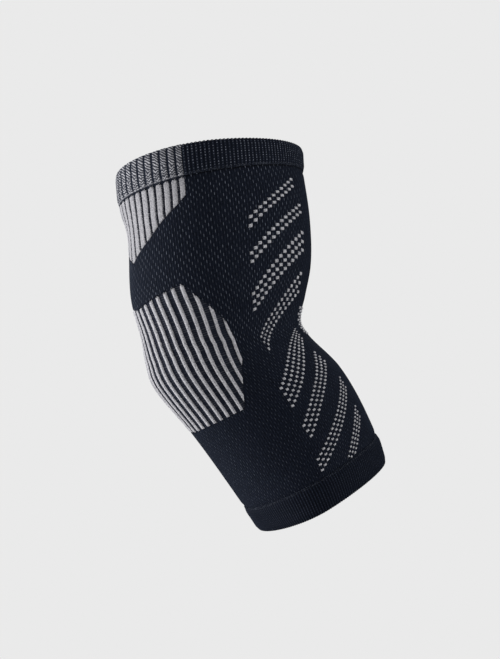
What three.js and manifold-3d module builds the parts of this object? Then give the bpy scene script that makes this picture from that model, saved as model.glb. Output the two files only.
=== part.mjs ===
// Elbow brace: a knitted tube shaped to a bent elbow, with a ribbed band at each end,
// a grey ribbed shield over the point of the elbow and a grey ribbed gore behind the upper arm.
//
// Millimetres. +Z runs up the upper arm, +X points to the inner elbow, -X to the point of the
// elbow, and the brace is mirror-symmetric about Y = 0. The origin is the middle of the hollow
// at the elbow.

import * as THREE from 'three';
import { mergeVertices } from 'three/addons/utils/BufferGeometryUtils.js';
import Module from 'manifold-3d';

const wasm = await Module();
wasm.setup();

// Upper arm: height of the upper rim over the elbow, how far it leans back, and its section.
const UPPER_RISE = 101;
const UPPER_LEAN = 9;
const UPPER_DEPTH = 115;
const UPPER_WIDTH = 104;

// Elbow section.
const ELBOW_DEPTH = 97;
const ELBOW_WIDTH = 86;

// Forearm: how far its rim lies below and in front of the elbow, and its section.
const FOREARM_DROP = 98;
const FOREARM_REACH = 67;
const FOREARM_DEPTH = 90;
const FOREARM_WIDTH = 84;

// Knit: the plain wall, the doubled wall of the bands and how far they stand proud, and the
// ribbed parts, whose bed is thin and whose ribs stand on it.
const KNIT_WALL = 1.8;
const BAND_WALL = 2.6;
const BAND_PROUD = 0.9;
const UPPER_BAND_HEIGHT = 16.5;
const LOWER_BAND_HEIGHT = 17.5;
const RIB_BED_WALL = 1.0;
const RIB_HEIGHT = 1.1;

// Clear seam between neighbouring pieces. A slanted edge loses some of it, so edges that
// run across the arm take the wider one.
const SEAM = 0.35;
const EDGE_SEAM = 0.5;

// The ribs follow the knit's columns, counted from the middle of the back. RIBS_ROUND of them
// would go round the whole brace. The elbow fills the knit out between SPREAD_TOP and
// SPREAD_BOTTOM, and the columns draw together away from it, more so at the sides.
const RIBS_ROUND = 50;
const DRAW_LEAST = 0.004;
const DRAW_MOST = 0.02;
const SPREAD_TOP = 0.40;
const SPREAD_BOTTOM = 0.52;
const DRAW_LENGTH = 0.2;

// How fine the grids are, and how much of a rib's pitch its flat top takes.
const TUBE_COLUMNS = 44;
const TUBE_ROWS = 20;
const UPPER_PANEL_ROWS = 5;
const ELBOW_PANEL_ROWS = 8;
const RIB_TOP_SHARE = 0.5;
const SECTION_STEPS = 240;

// Sections from the upper rim (t = 0) to the lower rim (t = 1). x and z place the middle of a
// section, tilt is how far its front is turned up in degrees, widest is where from back to
// front it is widest, and point is how sharp its back is (1 is an ellipse, less is blunter).
const SECTIONS = [
  { t: 0.000, x: -1.00 * UPPER_LEAN, z: 1.000 * UPPER_RISE, depth: 1.000 * UPPER_DEPTH,
    width: 1.000 * UPPER_WIDTH, tilt: 10, widest: 0.43, point: 0.91 },
  { t: 0.085, x: -0.84 * UPPER_LEAN, z: 0.836 * UPPER_RISE, depth: 0.996 * UPPER_DEPTH,
    width: 0.980 * UPPER_WIDTH, tilt: 13, widest: 0.48, point: 0.81 },
  { t: 0.220, x: -0.30 * UPPER_LEAN, z: 0.589 * UPPER_RISE, depth: 0.970 * UPPER_DEPTH,
    width: 0.943 * UPPER_WIDTH, tilt: 7.5, widest: 0.51, point: 0.82 },
  { t: 0.340, x: -0.13 * UPPER_LEAN, z: 0.272 * UPPER_RISE, depth: 0.975 * UPPER_DEPTH,
    width: 0.898 * UPPER_WIDTH, tilt: 13, widest: 0.49, point: 0.86 },
  { t: 0.430, x: 0, z: 0.067 * UPPER_RISE, depth: 1.064 * ELBOW_DEPTH,
    width: 1.037 * ELBOW_WIDTH, tilt: 16, widest: 0.48, point: 1.00 },
  { t: 0.510, x: 0, z: -0.093 * FOREARM_DROP, depth: 1.003 * ELBOW_DEPTH,
    width: 1.000 * ELBOW_WIDTH, tilt: 18, widest: 0.47, point: 1.13 },
  { t: 0.590, x: 0.078 * FOREARM_REACH, z: -0.207 * FOREARM_DROP, depth: 1.027 * ELBOW_DEPTH,
    width: 1.007 * ELBOW_WIDTH, tilt: 20.5, widest: 0.50, point: 1.17 },
  { t: 0.700, x: 0.406 * FOREARM_REACH, z: -0.425 * FOREARM_DROP, depth: 1.103 * FOREARM_DEPTH,
    width: 1.050 * FOREARM_WIDTH, tilt: 26, widest: 0.50, point: 1.09 },
  { t: 0.910, x: 0.858 * FOREARM_REACH, z: -0.850 * FOREARM_DROP, depth: 1.006 * FOREARM_DEPTH,
    width: 1.036 * FOREARM_WIDTH, tilt: 31.5, widest: 0.43, point: 0.93 },
  { t: 1.000, x: 0.990 * FOREARM_REACH, z: -0.996 * FOREARM_DROP, depth: 0.940 * FOREARM_DEPTH,
    width: 1.000 * FOREARM_WIDTH, tilt: 31.5, widest: 0.34, point: 0.77 },
];

// Outlines of the ribbed parts on one side of the back: rib is a column of the knit, counted
// from the middle of the back, and t a place along the arm. The other side mirrors it.
const ELBOW_PANEL_TOP = [
  { rib: 0, t: 0.372 },
  { rib: 6.3, t: 0.347 },
  { rib: 8.6, t: 0.415 },
  { rib: 10, t: 0.461 },
  { rib: 11.5, t: 0.575 },
];
const ELBOW_PANEL_BOTTOM = [
  { rib: 0, t: 0.702 },
  { rib: 8, t: 0.692 },
  { rib: 10.3, t: 0.634 },
  { rib: 11.5, t: 0.595 },
];
const ELBOW_PANEL_HALF_RIBS = 11;
const UPPER_PANEL_BOTTOM = [
  { rib: 0, t: 0.284 },
  { rib: 3, t: 0.252 },
  { rib: 7, t: 0.189 },
  { rib: 8.5, t: 0.156 },
];
const UPPER_PANEL_HALF_RIBS = 8;

// How far a band stands proud, from its upper edge to its lower one.
const BAND_PROFILE = [
  { down: 0, proud: 0.1 },
  { down: 0.2, proud: 1 },
  { down: 0.8, proud: 1 },
  { down: 1, proud: 0.1 },
];

// Colours of the knit.
const NAVY = 0x10141e;
const GREY = 0xb2b0b6;
const MELANGE = 0x7e7d84;

const COLUMNS = ['x', 'z', 'depth', 'width', 'tilt', 'widest', 'point'];
const sectionSpline = new THREE.CubicInterpolant(
  SECTIONS.map((row) => row.t),
  SECTIONS.flatMap((row) => COLUMNS.map((name) => row[name])),
  COLUMNS.length,
);

function sectionAt(t) {
  const values = sectionSpline.evaluate(t);
  return Object.fromEntries(COLUMNS.map((name, index) => [name, values[index]]));
}

// A point of a section's outline: angle 0 is the middle of the back, a half turn the front.
function outlinePoint(section, angle) {
  const tilt = THREE.MathUtils.degToRad(section.tilt);
  const forward = Math.cos(angle) < 0
    ? section.widest + (1 - section.widest) * -Math.cos(angle)
    : section.widest * (1 - Math.cos(angle) ** section.point);
  const along = (forward - 0.5) * section.depth;
  return new THREE.Vector3(
    section.x + along * Math.cos(tilt),
    -0.5 * section.width * Math.sin(angle),
    section.z + along * Math.sin(tilt),
  );
}

// Half of a section's outline with the length walked along it, kept for each t.
const halfOutlines = new Map();
function halfOutline(t) {
  if (!halfOutlines.has(t)) {
    const section = sectionAt(t);
    const points = [];
    const walked = [];
    for (let step = 0; step <= SECTION_STEPS; step += 1) {
      points.push(outlinePoint(section, (Math.PI * step) / SECTION_STEPS));
      walked.push(step === 0 ? 0 : walked[step - 1] + points[step].distanceTo(points[step - 1]));
    }
    halfOutlines.set(t, { points, walked, girth: walked[SECTION_STEPS] });
  }
  return halfOutlines.get(t);
}

// The outer face of the brace. round is the share of the half girth from the middle of the
// back (0) to the middle of the front (1), less than 0 on the +Y side.
function facePoint(t, round) {
  const { points, walked, girth } = halfOutline(t);
  const turned = Math.abs(round) > 1 ? 2 - Math.abs(round) : Math.abs(round);
  const side = Math.abs(round) > 1 ? -Math.sign(round) : Math.sign(round);
  const target = turned * girth;
  let low = 0;
  let high = SECTION_STEPS;
  while (high - low > 1) {
    const middle = (low + high) >> 1;
    if (walked[middle] > target) {
      high = middle;
    } else {
      low = middle;
    }
  }
  const share = (target - walked[low]) / (walked[high] - walked[low]);
  const point = points[low].clone().lerp(points[high], share);
  point.y *= side < 0 ? -1 : 1;
  return point;
}

// The same place, lifted off the face by so many millimetres along its outward normal.
const NORMAL_STEP = 0.004;
function liftedPoint(t, round, lift) {
  const before = Math.max(t - NORMAL_STEP, 0);
  const after = Math.min(t + NORMAL_STEP, 1);
  const down = facePoint(after, round).sub(facePoint(before, round));
  const across = facePoint(t, round + NORMAL_STEP).sub(facePoint(t, round - NORMAL_STEP));
  const normal = down.cross(across).normalize();
  return facePoint(t, round).addScaledVector(normal, lift);
}

// Millimetres on the face as a step of t, and as a step round the section.
function alongShare(t, length) {
  const from = sectionAt(Math.max(t - NORMAL_STEP, 0));
  const to = sectionAt(Math.min(t + NORMAL_STEP, 1));
  const span = Math.min(t + NORMAL_STEP, 1) - Math.max(t - NORMAL_STEP, 0);
  return (length * span) / Math.hypot(to.x - from.x, to.z - from.z);
}

function roundShare(t, length) {
  return length / halfOutline(t).girth;
}

// Where rib number rib lies round the section at t.
function ribRound(t, rib) {
  const above = (SPREAD_TOP - t) / DRAW_LENGTH;
  const below = (t - SPREAD_BOTTOM) / DRAW_LENGTH;
  const away = THREE.MathUtils.clamp(Math.max(above, below), 0, 1);
  const draw = THREE.MathUtils.lerp(DRAW_LEAST, DRAW_MOST, away);
  return ((2 * rib) / RIBS_ROUND) * (1 - draw * Math.abs(rib));
}

// Straight lines between the rows of an outline table.
function outlineAt(outline, rib) {
  const place = Math.abs(rib);
  const after = outline.findIndex((row) => row.rib >= place);
  if (after <= 0) {
    return outline[after === 0 ? 0 : outline.length - 1].t;
  }
  const [from, to] = [outline[after - 1], outline[after]];
  return THREE.MathUtils.lerp(from.t, to.t, (place - from.rib) / (to.rib - from.rib));
}

// A wall over a grid of columns and rows. place(i, j) gives t, round and the lift of both
// faces. A ring closes on itself, anything else has an edge at each side.
function wallGeometry(columns, rows, isRing, place) {
  const across = isRing ? columns : columns + 1;
  const layer = across * (rows + 1);
  const positions = [];
  for (const face of ['outer', 'inner']) {
    for (let j = 0; j <= rows; j += 1) {
      for (let i = 0; i < across; i += 1) {
        const spot = place(i, j);
        positions.push(...liftedPoint(spot.t, spot.round, spot[face]).toArray());
      }
    }
  }
  const index = [];
  const vertex = (i, j, inner) => inner * layer + j * across + (i % across);
  const quad = (a, b, c, d) => index.push(a, c, b, b, c, d);
  for (let i = 0; i < columns; i += 1) {
    for (let j = 0; j < rows; j += 1) {
      quad(vertex(i, j, 0), vertex(i + 1, j, 0), vertex(i, j + 1, 0), vertex(i + 1, j + 1, 0));
      quad(vertex(i + 1, j, 1), vertex(i, j, 1), vertex(i + 1, j + 1, 1), vertex(i, j + 1, 1));
    }
    quad(vertex(i, 0, 1), vertex(i + 1, 0, 1), vertex(i, 0, 0), vertex(i + 1, 0, 0));
    quad(vertex(i, rows, 0), vertex(i + 1, rows, 0), vertex(i, rows, 1), vertex(i + 1, rows, 1));
  }
  if (!isRing) {
    for (let j = 0; j < rows; j += 1) {
      quad(vertex(0, j, 1), vertex(0, j, 0), vertex(0, j + 1, 1), vertex(0, j + 1, 0));
      quad(vertex(columns, j, 0), vertex(columns, j, 1),
        vertex(columns, j + 1, 0), vertex(columns, j + 1, 1));
    }
  }
  const geometry = new THREE.BufferGeometry();
  geometry.setAttribute('position', new THREE.Float32BufferAttribute(positions, 3));
  geometry.setIndex(index);
  return geometry;
}

// Cuts one closed geometry out of another.
function toManifold(geometry) {
  const merged = mergeVertices(geometry);
  return new wasm.Manifold(new wasm.Mesh({
    numProp: 3,
    vertProperties: new Float32Array(merged.attributes.position.array),
    triVerts: new Uint32Array(merged.index.array),
  }));
}

function cutGeometry(body, cutters) {
  const solid = cutters.reduce((rest, cutter) => rest.subtract(toManifold(cutter)), toManifold(body));
  const mesh = solid.getMesh();
  const geometry = new THREE.BufferGeometry();
  geometry.setAttribute('position', new THREE.Float32BufferAttribute(mesh.vertProperties, 3));
  geometry.setIndex(new THREE.Uint32BufferAttribute(mesh.triVerts, 1));
  return geometry;
}

// The ribbed parts: columns of a grid as places counted in ribs, half a rib past the last one.
function ribColumns(halfRibs) {
  const places = [];
  for (let rib = -halfRibs; rib <= halfRibs; rib += 1) {
    places.push({ rib: rib - 0.5, top: false });
    places.push({ rib: rib - 0.5 * RIB_TOP_SHARE, top: true });
    places.push({ rib: rib + 0.5 * RIB_TOP_SHARE, top: true });
  }
  places.push({ rib: halfRibs + 0.5, top: false });
  return places;
}

// A ribbed panel between two edges, edge(rib) giving the t of each. Its bed is sunk a little
// under the plain knit and its ribs stand up to it and past it. A cutter is the same panel
// without its seam and with plain faces that reach through the wall.
const BED_LIFT = RIB_BED_WALL - KNIT_WALL;
const CUT_REACH = 2 * KNIT_WALL;
function panelGeometry({ halfRibs, rows, topEdge, bottomEdge, isCutter }) {
  const places = ribColumns(halfRibs);
  const columns = places.length - 1;
  return wallGeometry(columns, rows, false, (i, j) => {
    const { rib, top } = places[i];
    const inset = isCutter ? 0 : EDGE_SEAM;
    const start = topEdge(rib);
    const end = bottomEdge(rib);
    const first = start + alongShare(start, inset);
    const last = end - alongShare(end, inset);
    const t = THREE.MathUtils.lerp(first, last, j / rows);
    const atSide = i === 0 || i === columns;
    const seam = atSide && !isCutter ? Math.sign(rib) * roundShare(t, SEAM) : 0;
    return {
      t,
      round: ribRound(t, rib) - seam,
      outer: isCutter ? CUT_REACH : BED_LIFT + (top ? RIB_HEIGHT : 0),
      inner: isCutter ? -CUT_REACH : -KNIT_WALL,
    };
  });
}

const UPPER_BAND_T = alongShare(SECTIONS[1].t, UPPER_BAND_HEIGHT);
const LOWER_BAND_T = 1 - alongShare(SECTIONS[SECTIONS.length - 2].t, LOWER_BAND_HEIGHT);
const BODY_TOP = UPPER_BAND_T + alongShare(UPPER_BAND_T, SEAM);
const BODY_BOTTOM = LOWER_BAND_T - alongShare(LOWER_BAND_T, SEAM);

const elbowPanel = {
  halfRibs: ELBOW_PANEL_HALF_RIBS,
  rows: ELBOW_PANEL_ROWS,
  topEdge: (rib) => outlineAt(ELBOW_PANEL_TOP, rib),
  bottomEdge: (rib) => outlineAt(ELBOW_PANEL_BOTTOM, rib),
};

// The upper panel runs up to the band, so its cutter leaves the wall open there.
const upperPanel = {
  halfRibs: UPPER_PANEL_HALF_RIBS,
  rows: UPPER_PANEL_ROWS,
  topEdge: () => BODY_TOP - alongShare(BODY_TOP, EDGE_SEAM),
  bottomEdge: (rib) => outlineAt(UPPER_PANEL_BOTTOM, rib),
};

function sleeveGeometry() {
  const tube = wallGeometry(TUBE_COLUMNS, TUBE_ROWS, true, (i, j) => ({
    t: THREE.MathUtils.lerp(BODY_TOP, BODY_BOTTOM, j / TUBE_ROWS),
    round: -1 + (2 * i) / TUBE_COLUMNS,
    outer: 0,
    inner: -KNIT_WALL,
  }));
  return cutGeometry(tube, [
    panelGeometry({ ...upperPanel, isCutter: true }),
    panelGeometry({ ...elbowPanel, isCutter: true }),
  ]);
}

// A wall for a band between two places along the arm: its rows follow the band's profile,
// and around(i, t) gives its place round the section and how deep its outer face is grooved.
function bandGeometry(columns, isRing, from, to, around) {
  return wallGeometry(columns, BAND_PROFILE.length - 1, isRing, (i, j) => {
    const { down, proud } = BAND_PROFILE[j];
    const t = THREE.MathUtils.lerp(from, to, down);
    const { round, groove } = around(i, t);
    return { t, round, outer: BAND_PROUD * (proud - groove), inner: BAND_PROUD - BAND_WALL };
  });
}

// The upper band is two pieces: a ribbed grey one behind and a navy one round the rest.
const INSERT_EDGE = UPPER_PANEL_HALF_RIBS + 0.5;
function upperBandInsertGeometry() {
  const places = ribColumns(UPPER_PANEL_HALF_RIBS);
  const columns = places.length - 1;
  return bandGeometry(columns, false, 0, UPPER_BAND_T, (i, t) => {
    const { rib, top } = places[i];
    const atSide = i === 0 || i === columns;
    const seam = atSide ? Math.sign(rib) * roundShare(t, SEAM) : 0;
    return { round: ribRound(t, rib) - seam, groove: top ? 0 : 1 };
  });
}

function upperBandGeometry() {
  const columns = Math.round(TUBE_COLUMNS * (1 - ribRound(0, INSERT_EDGE)));
  return bandGeometry(columns, false, 0, UPPER_BAND_T, (i, t) => {
    const edge = ribRound(t, INSERT_EDGE) + roundShare(t, SEAM);
    return { round: THREE.MathUtils.lerp(edge, 2 - edge, i / columns), groove: 0 };
  });
}

function lowerBandGeometry() {
  return bandGeometry(TUBE_COLUMNS, true, LOWER_BAND_T, 1, (i) => (
    { round: -1 + (2 * i) / TUBE_COLUMNS, groove: 0 }
  ));
}

function knit(color) {
  return new THREE.MeshStandardMaterial({ color, roughness: 0.9, metalness: 0 });
}

function addPiece(group, name, geometry, material) {
  geometry.computeVertexNormals();
  const mesh = new THREE.Mesh(geometry, material);
  mesh.name = name;
  group.add(mesh);
}

const navyKnit = knit(NAVY);
const greyKnit = knit(GREY);
const melangeKnit = knit(MELANGE);

const brace = new THREE.Group();
addPiece(brace, 'sleeve_body', sleeveGeometry(), navyKnit);
addPiece(brace, 'upper_band', upperBandGeometry(), navyKnit);
addPiece(brace, 'upper_band_insert', upperBandInsertGeometry(), melangeKnit);
addPiece(brace, 'upper_rib_panel', panelGeometry({ ...upperPanel, isCutter: false }), greyKnit);
addPiece(brace, 'elbow_rib_panel', panelGeometry({ ...elbowPanel, isCutter: false }), greyKnit);
addPiece(brace, 'lower_band', lowerBandGeometry(), navyKnit);

export default brace;
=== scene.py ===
# %% [markdown]
# # A knitted elbow brace
#
# The brace is one knitted tube, made to a bent elbow on a round knitting machine. A doubled
# band grips the arm at each end, a grey ribbed shield covers the point of the elbow, and a
# grey ribbed gore sits behind the upper arm. Small raised grey squares climb both sides.
#
# The CAD model holds its real shape and size. This lesson loads it as a fixed frame and
# knits the visible surfaces around it, each in the place of the solid that it stands for.

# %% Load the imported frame
import math
from collections import namedtuple

import bpy
import numpy as np
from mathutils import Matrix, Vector


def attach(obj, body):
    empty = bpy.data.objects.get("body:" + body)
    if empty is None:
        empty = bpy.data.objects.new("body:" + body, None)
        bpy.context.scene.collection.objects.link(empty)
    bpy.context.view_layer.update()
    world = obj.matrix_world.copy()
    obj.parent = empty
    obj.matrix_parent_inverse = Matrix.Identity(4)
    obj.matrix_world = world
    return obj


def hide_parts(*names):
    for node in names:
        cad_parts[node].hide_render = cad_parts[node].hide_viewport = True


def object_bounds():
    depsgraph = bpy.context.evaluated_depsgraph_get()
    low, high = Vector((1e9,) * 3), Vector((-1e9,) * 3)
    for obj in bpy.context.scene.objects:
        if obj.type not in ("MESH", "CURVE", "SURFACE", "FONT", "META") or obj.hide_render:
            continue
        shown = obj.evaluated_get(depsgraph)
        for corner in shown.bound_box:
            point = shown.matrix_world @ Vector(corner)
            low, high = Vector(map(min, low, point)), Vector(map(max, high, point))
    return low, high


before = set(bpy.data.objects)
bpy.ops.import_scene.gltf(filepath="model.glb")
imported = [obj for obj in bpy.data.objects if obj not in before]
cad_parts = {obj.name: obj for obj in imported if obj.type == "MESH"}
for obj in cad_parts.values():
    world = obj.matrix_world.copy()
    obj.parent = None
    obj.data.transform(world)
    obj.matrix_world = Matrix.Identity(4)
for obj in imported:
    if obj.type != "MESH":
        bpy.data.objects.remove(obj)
cad_low, cad_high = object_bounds()
print("CAD nodes:", ", ".join(sorted(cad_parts)))

# %% [markdown]
# ## The arm inside the brace
#
# A knit has no shape of its own: it takes the arm's. So the brace starts from one smooth
# surface, the arm, given as a short table of sections from the upper rim down to the lower
# one. These are the sizes and rows of the CAD source, repeated here because this script reads
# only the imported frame. Every piece is then laid on that surface: a place is t along the arm,
# a turn round it, and a lift off it in millimetres.

# %% Real sizes, in millimetres
MM = 0.001

UPPER_RISE = 101
UPPER_LEAN = 9
UPPER_DEPTH = 115
UPPER_WIDTH = 104
ELBOW_DEPTH = 97
ELBOW_WIDTH = 86
FOREARM_DROP = 98
FOREARM_REACH = 67
FOREARM_DEPTH = 90
FOREARM_WIDTH = 84

KNIT_WALL = 1.8
BAND_WALL = 2.6
BAND_PROUD = 0.9
UPPER_BAND_HEIGHT = 16.5
LOWER_BAND_HEIGHT = 17.5
RIB_BED_WALL = 1.0
RIB_HEIGHT = 1.1

# %% Sections of the arm, from the upper rim to the lower rim
SECTION_COLUMNS = ("t", "x", "z", "depth", "width", "tilt", "widest", "point")
SECTIONS = np.array([
    (0.000, -1.00 * UPPER_LEAN, 1.000 * UPPER_RISE, 1.000 * UPPER_DEPTH,
     1.000 * UPPER_WIDTH, 10, 0.43, 0.91),
    (0.085, -0.84 * UPPER_LEAN, 0.836 * UPPER_RISE, 0.996 * UPPER_DEPTH,
     0.980 * UPPER_WIDTH, 13, 0.48, 0.81),
    (0.220, -0.30 * UPPER_LEAN, 0.589 * UPPER_RISE, 0.970 * UPPER_DEPTH,
     0.943 * UPPER_WIDTH, 7.5, 0.51, 0.82),
    (0.340, -0.13 * UPPER_LEAN, 0.272 * UPPER_RISE, 0.975 * UPPER_DEPTH,
     0.898 * UPPER_WIDTH, 13, 0.49, 0.86),
    (0.430, 0, 0.067 * UPPER_RISE, 1.064 * ELBOW_DEPTH,
     1.037 * ELBOW_WIDTH, 16, 0.48, 1.00),
    (0.510, 0, -0.093 * FOREARM_DROP, 1.003 * ELBOW_DEPTH,
     1.000 * ELBOW_WIDTH, 18, 0.47, 1.13),
    (0.590, 0.078 * FOREARM_REACH, -0.207 * FOREARM_DROP, 1.027 * ELBOW_DEPTH,
     1.007 * ELBOW_WIDTH, 20.5, 0.50, 1.17),
    (0.700, 0.406 * FOREARM_REACH, -0.425 * FOREARM_DROP, 1.103 * FOREARM_DEPTH,
     1.050 * FOREARM_WIDTH, 26, 0.50, 1.09),
    (0.910, 0.858 * FOREARM_REACH, -0.850 * FOREARM_DROP, 1.006 * FOREARM_DEPTH,
     1.036 * FOREARM_WIDTH, 31.5, 0.43, 0.93),
    (1.000, 0.990 * FOREARM_REACH, -0.996 * FOREARM_DROP, 0.940 * FOREARM_DEPTH,
     1.000 * FOREARM_WIDTH, 31.5, 0.34, 0.77),
])
SECTION_T = SECTIONS[:, 0]
SECTION_VALUES = SECTIONS[:, 1:]


def sections_at(t):
    """The section table at each t, as smooth curves through its rows."""
    gaps = np.diff(SECTION_T)
    secants = np.diff(SECTION_VALUES, axis=0) / gaps[:, None]
    slopes = np.vstack([secants[:1], (secants[1:] + secants[:-1]) / 2, secants[-1:]])
    row = np.clip(np.searchsorted(SECTION_T, t, side="right") - 1, 0, len(gaps) - 1)
    gap = gaps[row][:, None]
    p = (t - SECTION_T[row])[:, None] / gap
    return (
        (1 + 2 * p) * (1 - p) ** 2 * SECTION_VALUES[row]
        + p * (1 - p) ** 2 * gap * slopes[row]
        + p * p * (3 - 2 * p) * SECTION_VALUES[row + 1]
        + p * p * (p - 1) * gap * slopes[row + 1]
    )


print("Sections:", len(SECTIONS), "rows of", ", ".join(SECTION_COLUMNS))

# %% The arm's surface as a fine lattice
LATTICE_T = np.linspace(0, 1, 401)
LATTICE_TURN = np.linspace(-1.1, 1.1, 441)
OUTLINE_STEPS = 240


def half_outlines(t):
    """Half of each section's outline, from the middle of the back to the middle of the front."""
    x, z, depth, width, tilt, widest, point = (v[:, None] for v in sections_at(t).T)
    angle = np.linspace(0, math.pi, OUTLINE_STEPS + 1)[None, :]
    cosine = np.cos(angle)
    forward = np.where(
        cosine < 0,
        widest - (1 - widest) * cosine,
        widest * (1 - np.maximum(cosine, 0) ** point),
    )
    along = (forward - 0.5) * depth
    tilt = np.radians(tilt)
    return np.stack([
        x + along * np.cos(tilt), -0.5 * width * np.sin(angle), z + along * np.sin(tilt),
    ], axis=-1)


def build_lattice():
    """Points and outward normals over the lattice, and half of the girth at each t."""
    outlines = half_outlines(LATTICE_T)
    steps = np.linalg.norm(np.diff(outlines, axis=1), axis=2)
    walked = np.hstack([np.zeros((len(steps), 1)), np.cumsum(steps, axis=1)])
    over = np.abs(LATTICE_TURN) > 1
    share = np.where(over, 2 - np.abs(LATTICE_TURN), np.abs(LATTICE_TURN))
    side = np.where(over, -1, 1) * np.where(LATTICE_TURN < 0, -1, 1)
    points = np.array([
        [np.interp(share * w[-1], w, outline[:, axis]) for axis in range(3)]
        for w, outline in zip(walked, outlines)
    ]).transpose(0, 2, 1)
    points[:, :, 1] *= side
    down, across = np.gradient(points, axis=0), np.gradient(points, axis=1)
    normals = np.cross(down, across)
    normals /= np.linalg.norm(normals, axis=2, keepdims=True)
    return points, normals, walked[:, -1]


ARM_POINTS, ARM_NORMALS, HALF_GIRTH = build_lattice()
CENTRES = sections_at(LATTICE_T)[:, :2]
DOWN_MM = np.concatenate([[0], np.cumsum(np.linalg.norm(np.diff(CENTRES, axis=0), axis=1))])


def down_at(t):
    """Millimetres from the upper rim down the middle of the arm."""
    return np.interp(t, LATTICE_T, DOWN_MM)


def t_at(down):
    """The t that lies so many millimetres down the middle of the arm."""
    return np.interp(down, DOWN_MM, LATTICE_T)


def turn_share(t, length):
    """Millimetres round the arm as a share of half its girth."""
    return length / np.interp(t, LATTICE_T, HALF_GIRTH)


def on_arm(t, turn, lift):
    """Places on the arm as points in metres."""
    turn = np.mod(turn + 1, 2) - 1
    row = np.clip(t, 0, 1) * (len(LATTICE_T) - 1)
    column = (turn - LATTICE_TURN[0]) / (LATTICE_TURN[1] - LATTICE_TURN[0])
    i = np.minimum(row.astype(int), len(LATTICE_T) - 2)
    j = np.minimum(column.astype(int), len(LATTICE_TURN) - 2)
    p, q = (row - i)[:, None], (column - j)[:, None]

    def blend(grid):
        return (grid[i, j] * (1 - p) * (1 - q) + grid[i + 1, j] * p * (1 - q)
                + grid[i, j + 1] * (1 - p) * q + grid[i + 1, j + 1] * p * q)

    return (blend(ARM_POINTS) + blend(ARM_NORMALS) * np.asarray(lift)[:, None]) * MM


print(f"Arm: {DOWN_MM[-1]:.0f} mm along its middle, "
      f"half girth {HALF_GIRTH[0]:.0f} to {HALF_GIRTH[-1]:.0f} mm")

# %% [markdown]
# ## The knit's columns and the edges of the ribbed parts
#
# A knitted tube has the same number of stitches round it at every height. The ribs of the two
# grey parts follow those columns, so they crowd together where the arm is slim and spread out
# over the elbow. The outlines below say where each grey part starts and ends on each rib.

# %% Columns, ribs and outlines
RIBS_ROUND = 50
DRAW_LEAST, DRAW_MOST = 0.004, 0.02
SPREAD_TOP, SPREAD_BOTTOM, DRAW_LENGTH = 0.40, 0.52, 0.2

# Each outline is a row of (rib number, t) from the middle of the back to the side.
ELBOW_PANEL_TOP = np.array([
    (0, 0.372), (6.3, 0.348), (8.65, 0.416), (10.2, 0.463), (11.0, 0.516), (11.7, 0.578)])
ELBOW_PANEL_BOTTOM = np.array([(0, 0.702), (8.2, 0.693), (10.5, 0.634), (11.7, 0.595)])
UPPER_PANEL_BOTTOM = np.array([(0, 0.284), (3, 0.252), (7, 0.189), (8.9, 0.147)])
UPPER_PANEL_SIDE = np.array([
    (8.885, 0.050), (8.87, 0.085), (8.835, 0.100), (8.755, 0.120), (8.635, 0.140), (8.53, 0.155)])
UPPER_HALF_RIBS = 8

UPPER_BAND_T = t_at(UPPER_BAND_HEIGHT)
LOWER_BAND_T = t_at(DOWN_MM[-1] - LOWER_BAND_HEIGHT)
SEAM = 0.05
BODY_TOP = t_at(UPPER_BAND_HEIGHT + SEAM)
BODY_BOTTOM = t_at(DOWN_MM[-1] - LOWER_BAND_HEIGHT - SEAM)


def smooth(value, start, end):
    """0 before start, 1 after end and an even ease between them."""
    p = np.clip((value - start) / (end - start), 0, 1)
    return p * p * (3 - 2 * p)


def draw_at(t):
    """How closely the columns draw together at each t, more so for each rib further round."""
    away = np.clip(np.maximum(SPREAD_TOP - t, t - SPREAD_BOTTOM) / DRAW_LENGTH, 0, 1)
    return DRAW_LEAST + (DRAW_MOST - DRAW_LEAST) * away


def rib_turn(t, rib):
    """Where rib number rib, counted from the middle of the back, lies round the arm."""
    return 2 * rib / RIBS_ROUND * (1 - draw_at(t) * np.abs(rib))


def rib_number(t, turn):
    """The rib number at a turn, the other way round."""
    draw = draw_at(t)
    inside = np.maximum(1 - 4 * draw * np.abs(turn) * RIBS_ROUND / 2, 0)
    return np.sign(turn) * (1 - np.sqrt(inside)) / (2 * draw)


# The knit isn't set square on the arm. At each t its columns wander by so many ribs, crowd
# together towards the side by a share of a rib each, and flare again beyond the fifth rib.
# The wander is eased on the far side, where the lines have negative numbers.
KNIT_COLUMNS = ("t", "wander", "crowd", "flare")
KNIT_LINES = np.array([
    (0.00, 0.00, 0, 0), (0.09, 0.00, 0, 0), (0.13, -0.15, 0, 0), (0.16, -0.40, 0, 0),
    (0.20, -0.70, 0, 0), (0.23, -0.75, 0, 0), (0.26, -0.45, 0, 0), (0.30, -0.10, 0, 0),
    (0.34, 0.20, 0, 0), (0.37, 0.45, 0.030, 0), (0.41, 0.70, 0.040, 0),
    (0.45, 1.15, 0.040, 0.002), (0.50, 1.70, 0.045, 0.006), (0.55, 2.10, 0.030, 0.014),
    (0.60, 2.20, 0.015, 0.020), (0.65, 1.95, 0.005, 0.024), (0.69, 1.75, 0, 0.024),
    (0.80, 1.40, 0, 0), (1.00, 0.90, 0, 0),
])
ROUNDED_OVER = 0.03
CROWD_FROM, CROWD_MIDDLE, FLARE_FROM = 1, 3.3, 5
FAR_EASE, FAR_FROM, FAR_TO = 0.65, 4, 13


def knit_lines_at(t, column):
    """A column of the table above, rounded off between its rows."""
    nearby = np.linspace(-ROUNDED_OVER, ROUNDED_OVER, 13)
    values = KNIT_LINES[:, KNIT_COLUMNS.index(column)]
    return np.mean([np.interp(t + step, KNIT_LINES[:, 0], values) for step in nearby], axis=0)


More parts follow.
